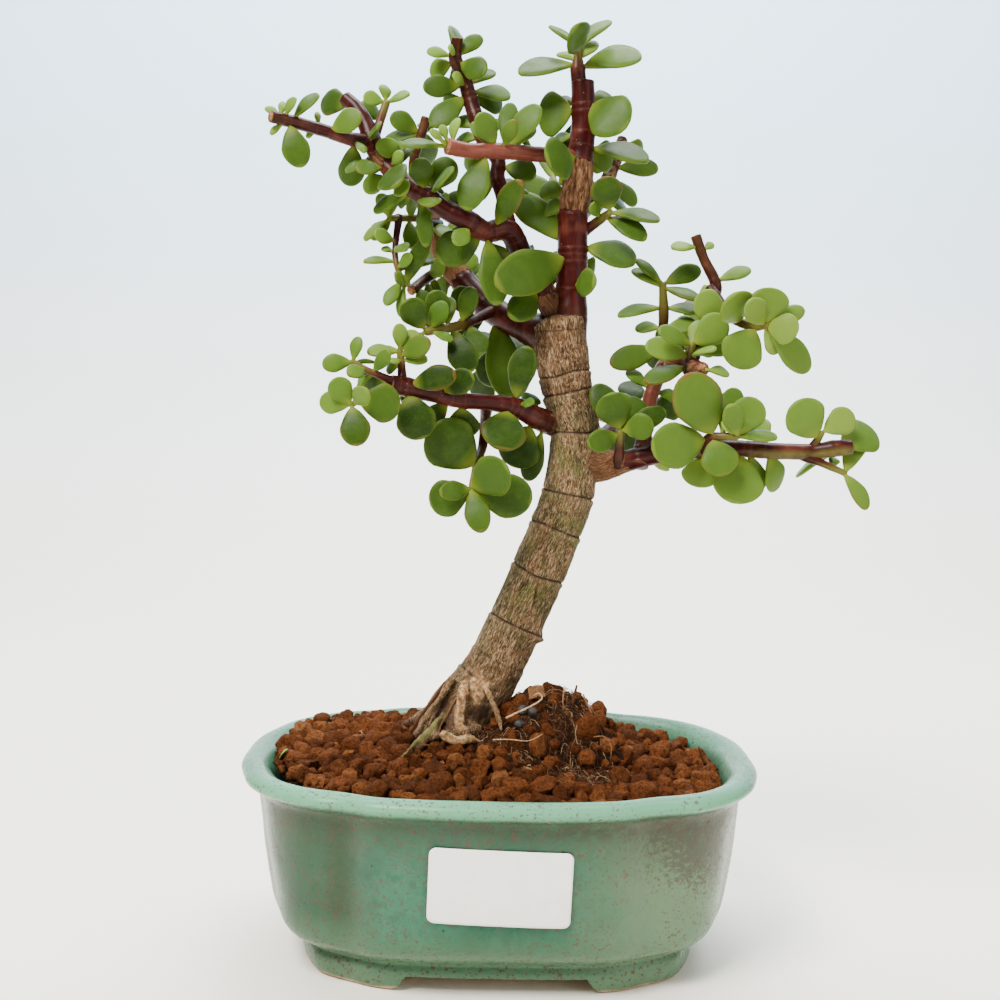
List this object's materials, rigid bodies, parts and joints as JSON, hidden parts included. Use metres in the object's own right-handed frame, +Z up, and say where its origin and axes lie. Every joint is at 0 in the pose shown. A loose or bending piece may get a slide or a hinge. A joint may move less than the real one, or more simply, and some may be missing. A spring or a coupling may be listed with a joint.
{
  "type": "dwarf jade bonsai in a glazed pot",
  "caption": "Dwarf jade bonsai, a succulent tree with a leaning ringed trunk and leafy shoots, rooted in granular soil in an oval glazed ceramic pot.",
  "frame": {"origin": "on the ground, under the middle of the whole part's bounding box; the pot's own centre is 17 mm to its left", "axes": "+Z is up along the tree's height, -Y is the tree's front with the label, +X is the viewer's right"},
  "size_m": [0.1852, 0.1196, 0.2761],
  "materials": {
    "glaze": "glossy celadon green glaze with fine brown speckles, bare tan clay under the feet",
    "sticker": "smooth white, blank",
    "screen": "black mesh",
    "feed": "dull dark grey",
    "granules": "matte reddish-brown fired clay granules",
    "old_roots": "dark fibrous root mat with soil in it",
    "bark": "grey-brown fissured bark with ring scars",
    "foliage": "glossy fleshy green leaves on maroon stems"
  },
  "bodies": {
    "root": {"pot": "glaze", "label": "sticker", "drain_screen_left": "screen", "drain_screen_right": "screen", "feed_pellet_1": "feed", "feed_pellet_2": "feed", "feed_pellet_3": "feed", "soil": "granules", "root_ball": "old_roots", "trunk": "bark", "leader": "foliage", "twig_front": "foliage", "shoot_up": "foliage", "limb_fork": "foliage", "twig_left": "foliage", "twig_tall": "foliage", "limb_left": "foliage", "twig_inner": "foliage", "twig_centre": "foliage", "twig_low": "foliage", "branch_low": "foliage", "branch_low_end": "foliage", "twig_low_up": "foliage", "branch_right": "foliage", "branch_upper": "foliage", "rosette_right": "foliage", "twig_behind": "foliage", "twig_side": "foliage", "shoot_back_high": "foliage", "shoot_back_low": "foliage", "shoot_back_right": "foliage", "shoot_back_upper": "foliage"}
  },
  "joints": []
}
